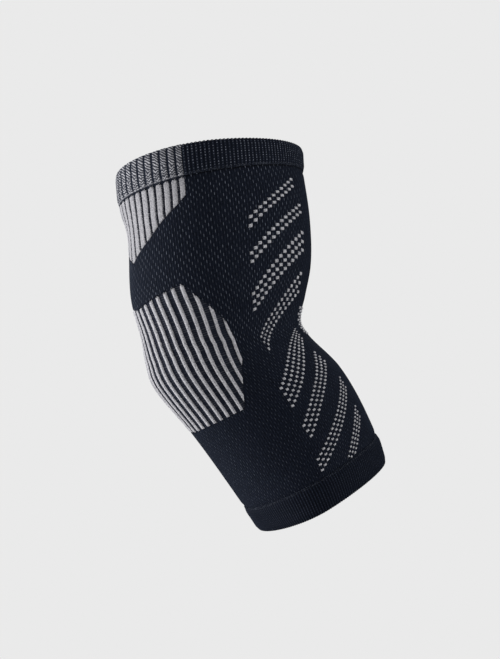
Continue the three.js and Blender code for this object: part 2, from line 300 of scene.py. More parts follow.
def rib_of_line(t, line):
    """The rib number that a line of the knit has reached at each t."""
    crowded = CROWD_MIDDLE - np.maximum(line, CROWD_FROM)
    flared = np.maximum(line - FLARE_FROM, 0) ** 2
    eased = 1 - FAR_EASE * smooth(-line, FAR_FROM, FAR_TO)
    return (line + knit_lines_at(t, "wander") * eased + knit_lines_at(t, "crowd") * crowded
            + knit_lines_at(t, "flare") * flared)


def edge_at(outline, rib):
    """The t at which an outline crosses each rib."""
    return np.interp(np.abs(rib), outline[:, 0], outline[:, 1])


def inside_elbow_panel(t, rib):
    """Whether places lie in the window of the shield."""
    return ((np.abs(rib) < ELBOW_PANEL_TOP[-1, 0]) & (t > edge_at(ELBOW_PANEL_TOP, rib))
            & (t < edge_at(ELBOW_PANEL_BOTTOM, rib)))


def inside_upper_panel(t, rib):
    """Whether places lie in the window of the gore."""
    side = np.interp(t, UPPER_PANEL_SIDE[:, 1], UPPER_PANEL_SIDE[:, 0])
    return (np.abs(rib) < side) & (t < edge_at(UPPER_PANEL_BOTTOM, rib))


print(f"Upper band down to t {UPPER_BAND_T:.3f}, lower band from t {LOWER_BAND_T:.3f}")

# %% [markdown]
# ## Laying a flat grid on the arm
#
# Each piece starts as Blender's own grid, because knitting is a grid of columns and courses.
# Its points are moved onto the arm, and its UV map is filled with real knit counts: x counts
# columns or ribs, y counts millimetres or courses. Patterns then follow the knit, wherever it
# bends. Deselecting first matters, because operators act on all that is selected.

# %% Helpers for selecting and for grids
UV_NAME = "knit"


def deselect_all():
    for thing in list(bpy.context.selected_objects):
        thing.select_set(False)


def pick(piece):
    deselect_all()
    piece.select_set(True)
    bpy.context.view_layer.objects.active = piece


def apply_modifier(piece, kind, **settings):
    pick(piece)
    modifier = piece.modifiers.new(kind.lower(), kind)
    for key, value in settings.items():
        setattr(modifier, key, value)
    bpy.ops.object.modifier_apply(modifier=modifier.name)


def merge_seams(piece, fill=False):
    """Joins the edges of a grid that was rolled up, and closes its ends if asked."""
    pick(piece)
    bpy.ops.object.mode_set(mode="EDIT")
    bpy.ops.mesh.select_all(action="SELECT")
    bpy.ops.mesh.remove_doubles(threshold=0.000002)
    if fill:
        bpy.ops.mesh.fill_holes(sides=0)
    bpy.ops.object.mode_set(mode="OBJECT")


def set_attribute(mesh, name, values):
    """A number for each point that a finish can read."""
    attribute = mesh.attributes.new(name, "FLOAT", "POINT")
    attribute.data.foreach_set("value", np.asarray(values, np.float32))


def knit_grid(name, columns, rows, place):
    """A grid laid on the arm. place(across, down) takes each point's shares of the grid and
    gives its t, turn, lift, knit column, knit course and a dict of attributes."""
    deselect_all()
    bpy.ops.mesh.primitive_grid_add(x_subdivisions=columns, y_subdivisions=rows, size=2)
    piece = bpy.context.object
    piece.name = piece.data.name = name
    mesh = piece.data
    flat = np.zeros(len(mesh.vertices) * 3)
    mesh.vertices.foreach_get("co", flat)
    flat = flat.reshape(-1, 3)
    t, turn, lift, column, course, extras = place((flat[:, 0] + 1) / 2, (1 - flat[:, 1]) / 2)
    mesh.vertices.foreach_set("co", on_arm(t, turn, lift).ravel())
    corners = np.zeros(len(mesh.loops), int)
    mesh.loops.foreach_get("vertex_index", corners)
    layer = mesh.uv_layers[0]
    layer.name = UV_NAME
    layer.data.foreach_set("uv", np.stack([column, course], axis=1)[corners].ravel())
    for key, values in extras.items():
        set_attribute(mesh, key, values)
    mesh.update()
    return piece


def report(piece):
    mesh = piece.data
    mesh.calc_loop_triangles()
    print(f"{piece.name}: {len(mesh.vertices)} points, {len(mesh.loop_triangles)} triangles")


# %% [markdown]
# ## Shader maths as plain expressions
#
# A procedural finish is mostly arithmetic on the knit counts: which column, how far along the
# stitch, inside the rib or not. Written as nodes by hand that is unreadable, so one small
# class wraps a socket and turns Python's own operators into Math nodes.

# %% Wires and finishes


class Wire:
    """The output of a node, which can be added, multiplied and compared."""

    def __init__(self, finish, socket):
        self.finish = finish
        self.socket = socket

    def maths(self, operation, *others):
        return self.finish.node(
            "ShaderNodeMath", {"operation": operation}, dict(enumerate((self, *others))))

    def flipped(self, operation, other):
        return self.finish.node(
            "ShaderNodeMath", {"operation": operation}, {0: other, 1: self})

    def __add__(self, other): return self.maths("ADD", other)
    def __radd__(self, other): return self.maths("ADD", other)
    def __sub__(self, other): return self.maths("SUBTRACT", other)
    def __rsub__(self, other): return self.flipped("SUBTRACT", other)
    def __mul__(self, other): return self.maths("MULTIPLY", other)
    def __rmul__(self, other): return self.maths("MULTIPLY", other)
    def __truediv__(self, other): return self.maths("DIVIDE", other)
    def __abs__(self): return self.maths("ABSOLUTE")
    def floor(self): return self.maths("FLOOR")
    def fract(self): return self.maths("FRACT")
    def larger(self, other): return self.maths("MAXIMUM", other)

    def rise(self, start, end):
        """0 before start, 1 after end, eased between; end may be the smaller one."""
        low, high = min(start, end), max(start, end)
        eased = self.finish.node(
            "ShaderNodeMapRange", {"interpolation_type": "SMOOTHSTEP"},
            {"Value": self, "From Min": low, "From Max": high})
        return eased if start < end else 1 - eased


class Finish:
    """A material, with one method that adds any node."""

    def __init__(self, name):
        self.material = bpy.data.materials.new(name)
        self.material.use_nodes = True
        self.tree = self.material.node_tree
        self.shader = self.tree.nodes["Principled BSDF"]

    def node(self, kind, settings=None, sockets=None, output=0):
        made = self.tree.nodes.new(kind)
        for key, value in (settings or {}).items():
            setattr(made, key, value)
        for key, value in (sockets or {}).items():
            if isinstance(value, Wire):
                self.tree.links.new(value.socket, made.inputs[key])
            else:
                made.inputs[key].default_value = value
        return Wire(self, made.outputs[output])

    def counts(self):
        """The knit counts of the piece's UV map."""
        uv = self.node("ShaderNodeUVMap", {"uv_map": UV_NAME})
        split = {"Vector": uv}
        return (self.node("ShaderNodeSeparateXYZ", None, split, "X"),
                self.node("ShaderNodeSeparateXYZ", None, split, "Y"))

    def attribute(self, name):
        return self.node("ShaderNodeAttribute", {"attribute_name": name}, None, "Fac")

    def grain(self, size, detail=2.0):
        """Soft noise in millimetres, the same from every side."""
        place = self.node("ShaderNodeTexCoord", None, None, "Object")
        return self.node("ShaderNodeTexNoise", None, {
            "Vector": place, "Scale": 1 / (size * MM), "Detail": detail})

    def chance(self, x, y):
        """A number from 0 to 1 that is the same all over one stitch."""
        spot = self.node("ShaderNodeCombineXYZ", None, {"X": x, "Y": y})
        return self.node("ShaderNodeTexWhiteNoise", {"noise_dimensions": "2D"}, {"Vector": spot})

    def mix(self, share, dark, light):
        """The dark colour where share is 0 and the light one where it is 1."""
        return self.node("ShaderNodeMix", {"data_type": "RGBA"}, {0: share, 6: dark, 7: light}, 2)

    def drive(self, **wires):
        """Links wires to the shader's own sockets."""
        for key, wire in wires.items():
            self.tree.links.new(wire.socket, self.shader.inputs[key.replace("_", " ")])

    def fix(self, **values):
        """Sets sockets that are the same all over the surface."""
        for key, value in values.items():
            self.shader.inputs[key.replace("_", " ")].default_value = value

    def raise_by(self, height, depth):
        """Bumps the surface by a height from 0 to 1 that stands for so many millimetres."""
        return self.node("ShaderNodeBump", None, {"Height": height, "Distance": depth * MM})


def linear(red, green, blue):
    """A colour as seen on screen, from 0 to 255, as the light values that shaders use."""
    def one(value):
        value /= 255
        return value / 12.92 if value <= 0.04045 else ((value + 0.055) / 1.055) ** 2.4
    return (one(red), one(green), one(blue), 1.0)


# %% [markdown]
# ## Navy knit
#
# The tube is knitted in dark navy yarn over a covered elastic. Where the elastic floats it
# shows as short light ticks, each column's a step lower than its neighbour's. They are strong
# at the back of the upper arm and fade towards the front and down the forearm, where the knit
# is drawn tight. The yarn itself is two close navies mixed by a soft grain, the crest of each
# column is painted a little lighter as a painted highlight, and a little sheen gives the haze
# of fine fibre at a shallow angle.

# %% The navy finish
# Two navies that the grain mixes as yarn. On the crests of the columns and of the bands' fine ribs,
# the lighter one is also a painted highlight.
NAVY_DEEP = linear(11, 14, 21)
NAVY_LIT = linear(26, 31, 43)
TICK = linear(106, 112, 124)
# The dark of the painted shade in the crease beside the bands.
PAINTED_CREVICE_SHADE = linear(5, 6, 10)
SHEEN = 0.05
SHEEN_TINT = linear(110, 135, 180)
NAVY_ROUGHNESS, GREY_ROUGHNESS = 0.85, 0.9
TICK_STEP = 0.42
TICK_HALF_WIDTH, TICK_HALF_LENGTH, TICK_EDGE = 0.09, 0.16, 0.07
FAINTEST_TICK = 0.1


def fabric(finish, roughness):
    """Yarn: hardly any gloss, and a soft sheen."""
    finish.fix(Roughness=roughness, Specular_IOR_Level=0.04, Sheen_Weight=SHEEN,
               Sheen_Roughness=0.35, Sheen_Tint=SHEEN_TINT)


def some(each, least):
    """A strength from least to 1, by the chance of a stitch or by the grain."""
    return least + (1 - least) * each


def staggered_ticks(finish, column, course):
    """1 on short upright stitches, each column's a step of the repeat below its neighbour's,
    and the chance that belongs to each stitch."""
    number = column.floor()
    beside = abs(column.fract() - 0.5)
    turns = course - number * TICK_STEP
    along = abs(turns.fract() - 0.5)
    each = finish.chance(number, turns.floor())
    return (beside.rise(TICK_HALF_WIDTH + TICK_EDGE, TICK_HALF_WIDTH - TICK_EDGE)
            * along.rise(TICK_HALF_LENGTH + TICK_EDGE, TICK_HALF_LENGTH - TICK_EDGE)), each


def navy_knit():
    finish = Finish("navy_knit")
    column, course = finish.counts()
    mask, each = staggered_ticks(finish, column, course)
    ticks = mask * some(each, FAINTEST_TICK) * finish.attribute("ticks")
    grain = finish.grain(0.6, 3.0)
    ridge = 1 - abs(column.fract() - 0.5) * 2
    # The crests of the columns are painted lighter, a painted highlight, as well as bumped.
    base = finish.mix(grain.rise(0.36, 0.64) * 0.65 + ridge.rise(0.1, 0.9) * 0.35,
                      NAVY_DEEP, NAVY_LIT)
    # Painted shade in the crease beside the bands, full at the upper band and fainter at the lower.
    base = finish.mix(finish.attribute("painted_crevice_shade"), base, PAINTED_CREVICE_SHADE)
    colour = finish.mix(ticks, base, TICK)
    height = ridge * 0.5 + mask * 0.6 + grain * 0.3
    fabric(finish, NAVY_ROUGHNESS)
    finish.drive(Base_Color=colour, Normal=finish.raise_by(height, 0.25))
    return finish.material


NAVY_KNIT = navy_knit()
print("Finish:", NAVY_KNIT.name)

# %% [markdown]
# ## The tube
#
# The body is one sheet of knit rolled into a tube, with a window for each grey part. Its
# grid is fine enough for the arm's curves, and the faint ridges of the columns, which are
# finer still, are left to the finish. Faces inside the windows are deleted, and the points
# round them are moved onto the outline first, so that the cut runs clean instead of in steps.
# Beside the bands the knit sinks a little, as it does under a hem, and a thin line of
# painted shade darkens its crease there. Solidify gives the wall.

# %% The body's grid
WALES_ROUND = 200
WALES_PER_RIB = WALES_ROUND / RIBS_ROUND
BODY_COLUMNS = 300
BODY_ROWS = 140
HEM_SINK = 0.6
HEM_SINK_LENGTH = 4.0
# How far the painted shade in the crease beside the bands reaches, in millimetres.
PAINTED_SHADE_LENGTH = 1.6


def tick_strength(t, turn):
    """Full behind the upper arm, fainter in front and on the forearm."""
    forward = smooth(np.abs(turn), 0.62, 0.85)
    forearm = smooth(t, 0.5, 0.72)
    return (1 - 0.8 * forward) * (1 - 0.6 * forearm)


# Stitches are longer on the upper arm than on the forearm: millimetres to one repeat.
REPEAT = np.array([(0, 4.9), (60, 4.6), (115, 4.1), (170, 3.5), (230, 3.5)])
REPEATS_DOWN = np.concatenate([[0], np.cumsum(
    np.diff(DOWN_MM) / np.interp(DOWN_MM[1:], REPEAT[:, 0], REPEAT[:, 1]))])


def body_counts(t, turn):
    """The knit column and the number of stitch repeats down from the rim. The columns take
    half of the ribs' wander behind, and less of it in front."""
    held = 0.5 - 0.4 * smooth(np.abs(turn), 0.3, 0.7)
    wale = turn * WALES_ROUND / 2 - WALES_PER_RIB * knit_lines_at(t, "wander") * held
    return wale, np.interp(t, LATTICE_T, REPEATS_DOWN)


def near_bands(t, length, at_foot=1):
    """1 beside the upper band, at_foot beside the lower one and 0 so many millimetres away."""
    hem = down_at(t) - UPPER_BAND_HEIGHT
    foot = DOWN_MM[-1] - LOWER_BAND_HEIGHT - down_at(t)
    return 1 - smooth(hem, 0, length) + at_foot * (1 - smooth(foot, 0, length))


def ring_of(top, bottom):
    """The outline of a window as a closed ring of rib number and t."""
    right = np.vstack([top, bottom[::-1]])
    left = right[::-1] * (-1, 1)
    return np.vstack([right, left])


OPEN_TOP = np.vstack([[(0, UPPER_PANEL_SIDE[0, 1])], UPPER_PANEL_SIDE])
WINDOWS = (
    ring_of(ELBOW_PANEL_TOP, ELBOW_PANEL_BOTTOM),
    ring_of(OPEN_TOP, UPPER_PANEL_BOTTOM[:-1]),
)

# About how many millimetres one rib and the whole of t stand for, to weigh them alike.
RIB_MM, T_MM = 5.6, 235.0


def onto_outline(ring, rib, t):
    """The nearest places on a window's outline."""
    scale = np.array([RIB_MM, T_MM])
    ends = ring * scale
    points = np.stack([rib, t], axis=1) * scale
    best, found = np.full(len(points), 1e9), points.copy()
    for start, end in zip(ends, np.roll(ends, -1, axis=0)):
        edge = end - start
        share = np.clip((points - start) @ edge / max(edge @ edge, 1e-9), 0, 1)
        near = start + share[:, None] * edge
        away = np.linalg.norm(points - near, axis=1)
        closer = away < best
        best[closer], found[closer] = away[closer], near[closer]
    return (found / scale).T


def grid_corners(mesh):
    """The four points of each face."""
    corners = np.zeros(len(mesh.loops), int)
    mesh.loops.foreach_get("vertex_index", corners)
    return corners.reshape(-1, 4)


def knit_body():
    """The tube: rolled from its grid, cut at the windows, joined behind and given its wall."""
    places = {}

    def place(across, down):
        t = BODY_TOP + (BODY_BOTTOM - BODY_TOP) * down
        turn = 2 * across - 1
        places.update(t=t, turn=turn)
        # Each point also carries how strong its ticks are and how much painted shade it takes
        # beside the bands.
        return (t, turn, -HEM_SINK * near_bands(t, HEM_SINK_LENGTH), *body_counts(t, turn),
                {"ticks": tick_strength(t, turn), "painted_crevice_shade": near_bands(t, PAINTED_SHADE_LENGTH, 0.2)})

    body = knit_grid("knit_body", BODY_COLUMNS, BODY_ROWS, place)
    mesh = body.data
    t, turn = places["t"], places["turn"]
    rib = rib_number(t, turn)
    faces = grid_corners(mesh)
    middle_t = t[faces].mean(axis=1)
    middle_rib = rib_number(middle_t, turn[faces].mean(axis=1))
    cut = np.zeros(len(faces), bool)
    for ring, inside in zip(WINDOWS, (inside_elbow_panel, inside_upper_panel)):
        gone = inside(middle_t, middle_rib)
        cut |= gone
        rim = np.intersect1d(faces[gone], faces[~gone])
        new_rib, new_t = onto_outline(ring, rib[rim], t[rim])
        t[rim] = np.maximum(new_t, BODY_TOP)
        turn[rim] = rib_turn(t[rim], new_rib)
    lift = -HEM_SINK * near_bands(t, HEM_SINK_LENGTH)
    mesh.vertices.foreach_set("co", on_arm(t, turn, lift).ravel())
    pick(body)
    bpy.ops.object.mode_set(mode="EDIT")
    bpy.ops.mesh.select_mode(type="FACE")
    bpy.ops.object.mode_set(mode="OBJECT")
    mesh.polygons.foreach_set("select", cut)
    bpy.ops.object.mode_set(mode="EDIT")
    bpy.ops.mesh.delete(type="FACE")
    bpy.ops.object.mode_set(mode="OBJECT")
    merge_seams(body)
    apply_modifier(body, "SOLIDIFY", thickness=KNIT_WALL * MM, offset=-1)
    pick(body)
    bpy.ops.object.shade_smooth_by_angle(angle=math.radians(50))
    return body


def dress(piece, material, slot, *nodes):
    """Gives a finished piece its material and its body and hides the nodes it stands for; slot is
    not used.
    """
    piece.data.materials.clear()
    piece.data.materials.append(material)
    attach(piece, "root")
    if nodes:
        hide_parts(*nodes)
    report(piece)


knit_body_piece = knit_body()
dress(knit_body_piece, NAVY_KNIT, "navy_knit", "sleeve_body")

# %% [markdown]
# ## Grey rib
#
# The grey parts are a ribbed knit: flat raised ribs of light grey yarn on a dark bed. The
# grey is a marl, so it is mottled, with a dark fleck here and there. The yarn frays a little
# past the rib's edges, and a light thread crosses the bed now and then. One function makes
# both finishes. It is told how wide and how ragged the ribs are, and their two greys. The
# gore's greys are the shield's yarn painted darker, as painted shade.

# %% The grey finish
SHIELD_GREY = linear(190, 189, 193), linear(134, 134, 140)
# Painted shade: the gore is the same yarn as the shield, painted darker.
SHADED_GORE_GREY = linear(174, 173, 177), linear(126, 126, 132)
BED = linear(30, 34, 45)
FLECK = linear(52, 54, 62)
SLIM_FROM, SLIMMING = 5, 0.008
RUNG = 1.2


def rib_finish(name, half_width, raggedness, light, shade):
    """half_width is a share of the pitch, which slims at the sides. Rungs are the threads
    that cross from rib to rib, RUNG millimetres apart."""
    finish = Finish(name)
    rib, course = finish.counts()
    ends = finish.attribute("rib_end")
    beside = abs((rib + 0.5).fract() - 0.5)
    ragged = (finish.grain(0.6, 3.0) - 0.5) * raggedness
    slim = (abs(rib) - SLIM_FROM).larger(0) * SLIMMING
    top = (beside + ragged + slim).rise(half_width + 0.02, half_width - 0.02) * ends.rise(0.35, 0.6)
    marl = finish.grain(0.7, 4.0).rise(0.30, 0.62)
    yarn = finish.mix(marl, shade, light)
    rung = course / RUNG
    rungs = abs(rung.fract() - 0.5).rise(0.3, 0.15) * finish.chance(rib.floor(), rung.floor())
    top = top.larger(rungs * raggedness * ends)
    flecks = finish.grain(0.5, 1.0).rise(0.31, 0.26)
    yarn = finish.mix(flecks * 0.8, yarn, FLECK)
    colour = finish.mix(top, BED, yarn)
    height = marl * 0.5 + finish.grain(0.4)
    fabric(finish, GREY_ROUGHNESS)
    finish.drive(Base_Color=colour, Normal=finish.raise_by(height, 0.12))
    return finish.material


ELBOW_RIB_HALF = 0.205
UPPER_RIB_HALF = 0.35
ELBOW_GREY = rib_finish("elbow_grey_rib", ELBOW_RIB_HALF, 0.10, *SHIELD_GREY)
UPPER_GREY = rib_finish("upper_grey_rib", UPPER_RIB_HALF, 0.30, *SHADED_GORE_GREY)
print("Finishes:", ELBOW_GREY.name, UPPER_GREY.name)

# %% [markdown]
# ## The ribbed shield and gore
#
# Both are real relief, not paint: the bed lies a little under the plain knit and the ribs
# stand up past it, as they do on the brace. Each grid has a fixed number of points to a rib,
# so every rib gets the same section. Its columns run along the lines of the knit, from where
# a line enters the window to where it leaves it. The ends of the ribs sink back to the bed.

# %% Panels
BED_LIFT = RIB_BED_WALL - KNIT_WALL
PANEL_SEAM = 0.05
PANEL_WALL = 0.8
RIB_END = 0.9

# The upper ends of the ribs are uneven by two waves across them, which don't keep in step.
JAG = 0.6
JAG_WAVES = (41, 97)

# The section of a rib: half of its width and the run of its shoulder, as shares of the pitch.
ELBOW_SECTION = (0.22, 0.07)
UPPER_SECTION = (0.39, 0.06)


def rib_height(rib, half_width, shoulder):
    """The height of a rib, 1 on its flat top and 0 in the groove, slimmer at the sides."""
    beside = np.abs(rib - np.round(rib)) + SLIMMING * np.maximum(np.abs(rib) - SLIM_FROM, 0)
    crown = 1 - 0.12 * (beside / half_width) ** 2
    return crown * (1 - smooth(beside, half_width - shoulder, half_width + shoulder))


LINE_T = np.linspace(0.03, 0.75, 2881)


def window_ends(line, inside, first_t):
    """Where each line of the knit enters and leaves a window."""
    t = LINE_T[LINE_T >= first_t]
    within = inside(t[None, :], rib_of_line(t[None, :], line[:, None]))
    first = within.argmax(axis=1)
    last = within.shape[1] - 1 - within[:, ::-1].argmax(axis=1)
    empty = ~within.any(axis=1)
    print(f"  lines that miss the window: {empty.sum()} of {len(line)}")
    return t[first], t[last]


def knit_panel(name, lines, per_rib, rows, inside, first_t, section, phase, round_top):
    """A ribbed panel between two knit lines, its columns along the knit. A rib's middle is
    where the line's number plus phase is whole, and round_top lowers its upper corners."""
    low, high = lines
    columns = round((high - low) * per_rib)
    line_at = np.linspace(low, high, columns + 1)
    starts, ends_at = window_ends(line_at, inside, first_t)

    def place(across, down):
        line = low + (high - low) * across
        start = t_at(down_at(np.interp(line, line_at, starts)) + PANEL_SEAM)
        end = t_at(down_at(np.interp(line, line_at, ends_at)) - PANEL_SEAM)
        end = np.maximum(end, start + 0.001)
        t = start + (end - start) * down
        turn = rib_turn(t, rib_of_line(t, line))
        rib = line + phase
        beside = np.abs(rib - np.round(rib))
        jag = JAG * np.mean([np.sin(line * wave) for wave in JAG_WAVES], axis=0)
        from_top = down_at(t) - down_at(start) - jag - round_top * (beside / section[0]) ** 2
        to_bottom = down_at(end) - down_at(t)
        ends = smooth(from_top, 0.1, RIB_END) * smooth(to_bottom, 0.1, RIB_END)
        lift = BED_LIFT + RIB_HEIGHT * rib_height(rib, *section) * ends
        return t, turn, lift, rib, down_at(t), {"rib_end": ends}

    panel = knit_grid(name, columns, rows, place)
    apply_modifier(panel, "SOLIDIFY", thickness=PANEL_WALL * MM, offset=-1)
    pick(panel)
    bpy.ops.object.shade_smooth_by_angle(angle=math.radians(60))
    return panel


elbow_shield = knit_panel(
    "elbow_shield", lines=(-12.5, 9.35), per_rib=10, rows=140, inside=inside_elbow_panel,
    first_t=0.3, section=ELBOW_SECTION, phase=0, round_top=0)
dress(elbow_shield, ELBOW_GREY, "grey_rib", "elbow_rib_panel")

upper_gore = knit_panel(
    "upper_gore", lines=(-8.82, 8.88), per_rib=12, rows=70, inside=inside_upper_panel,
    first_t=BODY_TOP, section=UPPER_SECTION, phase=0.5, round_top=1.2)
dress(upper_gore, UPPER_GREY, "grey_rib", "upper_rib_panel")

# %% [markdown]
# ## The bands
#
# Each end of the brace is doubled over, so it is thicker, stands a little proud and has a
# rounded rim. A band is therefore one closed section, up the inside, over the rim and down
# the outside, swept round the arm. Its fine ribs are relief too: they make the beads that
# show along the rim.

# %% The section of a band
BAND_INNER = BAND_PROUD - BAND_WALL

# How proud the outside stands, from its rim to its foot, both as shares.
BAND_SHAPE = np.array([(0, 0.1), (0.2, 1), (0.8, 1), (1, 0.1)])
RIM_RADIUS = 0.95
RIM_FADE = 1.6
INNER_ROWS, RIM_ROWS, OUTER_ROWS = 6, 8, 30

BandPath = namedtuple("BandPath", "depth lift outside")


def band_path(height):
    """From the inside edge over the rim to the outside edge: how deep under the rim each row
    lies, its lift, and how much of the rib relief it takes."""
    inner = np.linspace(height, RIM_RADIUS, INNER_ROWS)
    angle = np.linspace(0, math.pi, RIM_ROWS + 2)[1:-1]
    outer = np.linspace(RIM_RADIUS, height, OUTER_ROWS)
    proud = BAND_PROUD * np.interp(outer / height, BAND_SHAPE[:, 0], BAND_SHAPE[:, 1])
    rim_middle = (proud[0] + BAND_INNER) / 2
    rim_half = (proud[0] - BAND_INNER) / 2
    return BandPath(
        np.concatenate([inner, RIM_RADIUS * (1 - np.sin(angle)), outer]),
        np.concatenate([np.full(INNER_ROWS, BAND_INNER), rim_middle - rim_half * np.cos(angle),
                        proud]),
        np.concatenate([np.zeros(INNER_ROWS), smooth(angle, 0.4, 1.8), np.ones(OUTER_ROWS)]),
    )


def knit_band(name, height, at_top, columns, around, relief, rim_relief, is_ring):
    """around(across, t) gives the turn, the rib number and how deep its groove is, 0 to 1.
    relief is the depth of the grooves, and rim_relief how far they notch the rim."""
    path = band_path(height)
    rows = len(path.depth)
    order = np.arange(rows + 1) % rows if at_top else (-1 - np.arange(rows + 1)) % rows

    def place(across, down):
        row = order[np.round(down * rows).astype(int)]
        depth, outside = path.depth[row], path.outside[row]
        along = depth if at_top else DOWN_MM[-1] - depth
        t = t_at(along)
        turn, rib, groove = around(across, t)
        scallop = rim_relief * groove * outside * (1 - smooth(depth, 0, RIM_FADE))
        t = t_at(along + (scallop if at_top else -scallop))
        lift = path.lift[row] - relief * groove * outside
        return t, turn, lift, rib, depth, {}

    band = knit_grid(name, columns, rows, place)
    merge_seams(band, fill=not is_ring)
    pick(band)
    bpy.ops.object.shade_smooth_by_angle(angle=math.radians(70))
    return band


def rounded_groove(rib):
    """0 on the crest of a fine rib and 1 between two of them."""
    return 0.5 - 0.5 * np.cos(2 * math.pi * rib)


print("Band section:", len(band_path(UPPER_BAND_HEIGHT).depth), "rows")

# %% [markdown]
# ## Finishes of the bands
#
# The navy bands are a fine rib with a column of tiny light stitches on each crest, and each
# crest is painted a little lighter as a painted highlight. The stitches are nearly lost on the
# lower band. The insert behind the arm is a marl of light and dark yarn: its strokes slant down
# across each rib, turn to a fine zigzag in the lower half, and leave a dark groove between the
# ribs.

# %% The bands' finishes
SPECK_COURSE = 1.45
SEAM_ROW, SEAM_FADE = 1.5, 0.4
STROKE_COURSE, STROKE_SLANT = 1.4, 2.4
ZIGZAG_FROM, ZIGZAG_TO = 8, 11
FAINTEST_STROKE = 0.35
STROKE_GREY = linear(184, 184, 189)
STROKE_SHADE = linear(56, 58, 66)
SPECK = linear(150, 156, 168)


def band_finish(name, speck_share, seam_share, band_height, crest):
    """The crests carry specks, and the seam at the foot of the band a ragged row of them."""
    finish = Finish(name)
    rib, depth = finish.counts()
    beside = abs((rib + 0.5).fract() - 0.5)
    course = depth / SPECK_COURSE
    along = abs(course.fract() - 0.5)
    each = finish.chance((rib + 0.5).floor(), course.floor())
    specks = beside.rise(0.15, 0.05) * along.rise(0.28, 0.12) * some(each, FAINTEST_TICK)
    seam_from = band_height - SEAM_ROW
    in_seam = depth.rise(seam_from, seam_from + SEAM_FADE)
    loose = finish.grain(0.5, 2.0).rise(0.52, 0.62)
    grain = finish.grain(0.6, 3.0)
    # The crests of the fine ribs are painted lighter, mixed by the grain: a painted highlight.
    base = finish.mix(some(grain.rise(0.36, 0.64), 0.4) * beside.rise(*crest),
                      NAVY_DEEP, NAVY_LIT)
    marks = (specks * speck_share * (1 - in_seam)).larger(loose * in_seam * seam_share)
    colour = finish.mix(marks, base, SPECK)
    fabric(finish, NAVY_ROUGHNESS)
    finish.drive(Base_Color=colour, Normal=finish.raise_by(specks + grain * 0.5, 0.15))
    return finish.material


def marl_finish():
    """Light and dark strokes that slant down across each rib and turn to a zigzag."""
    finish = Finish("melange_band")
    rib, depth = finish.counts()
    across = (rib + 0.5).fract() - 0.5
    beside = abs(across)
    zigzag = abs(beside * 2 - 0.5) * 0.6
    slant = across + (zigzag - across) * depth.rise(ZIGZAG_FROM, ZIGZAG_TO)
    rows = depth / STROKE_COURSE - slant * STROKE_SLANT + finish.grain(2.5, 0.0) * 0.8
    stroke = abs(rows.fract() - 0.5).rise(0.30, 0.12)
    each = finish.chance((rib * 5).floor(), rows.floor())
    grain = finish.grain(0.5, 2.0)
    edge = (beside + (grain - 0.5) * 0.14).rise(0.39, 0.31)
    light = stroke * some(each, FAINTEST_STROKE) * edge
    from_edge = UPPER_BAND_HEIGHT - depth
    in_seam = from_edge.rise(SEAM_ROW, SEAM_ROW - SEAM_FADE)
    light = light.larger(in_seam * grain.rise(0.45, 0.6) * 0.6)
    # The last half millimetre above the foot loses its light strokes: a thin line of painted shade
    # at the seam.
    light = light * from_edge.rise(0.45, 0.7)
    between = finish.mix(edge, BED, STROKE_SHADE)
    colour = finish.mix(light, between, STROKE_GREY)
    fabric(finish, GREY_ROUGHNESS)
    finish.drive(Base_Color=colour, Normal=finish.raise_by(stroke * 0.7 + grain * 0.3, 0.2))
    return finish.material


NAVY_BAND = band_finish("navy_band", speck_share=0.62, seam_share=0.15,
                        band_height=UPPER_BAND_HEIGHT, crest=(0.5, 0.2))
LOWER_NAVY = band_finish("lower_navy_band", speck_share=0.10, seam_share=0.10,
                         band_height=LOWER_BAND_HEIGHT, crest=(0.45, 0.1))
MARL = marl_finish()
print("Finishes:", NAVY_BAND.name, LOWER_NAVY.name, MARL.name)

# %% The three pieces of the bands
INSERT_EDGE = UPPER_HALF_RIBS + 0.86
INSERT_SECTION = (0.36, 0.08)
BAND_SEAM = 0.06

# Fine ribs to half of a whole band, and how many the navy part of the upper band has.
UPPER_BAND_RIBS = 72
LOWER_BAND_RIBS = 84
NAVY_PART_RIBS = 2 * round(UPPER_BAND_RIBS * (1 - rib_turn(UPPER_BAND_T, INSERT_EDGE)))

# Points of the grid to one rib.
INSERT_POINTS, UPPER_BAND_POINTS, LOWER_BAND_POINTS = 12, 6, 4


def around_insert(across, t):
    """Behind the arm, with a hair of room at its two ends."""
    rib = INSERT_EDGE * (2 * across - 1)
    turn = rib_turn(t, rib)
    turn -= np.where(np.abs(rib) > INSERT_EDGE - 1e-6, np.sign(rib) * turn_share(t, BAND_SEAM), 0)
    return turn, rib + 0.5, 1 - rib_height(rib + 0.5, *INSERT_SECTION)


def around_upper_band(across, t):
    """From one end of the insert round the front to the other."""
    edge = rib_turn(t, INSERT_EDGE) + turn_share(t, BAND_SEAM)
    turn = edge + (2 - 2 * edge) * across
    rib = NAVY_PART_RIBS * across + 0.5
    return turn, rib, rounded_groove(rib)


def around_lower_band(across, t):
    """All the way round."""
    turn = 2 * across - 1
    rib = LOWER_BAND_RIBS * turn
    return turn, rib, rounded_groove(rib)


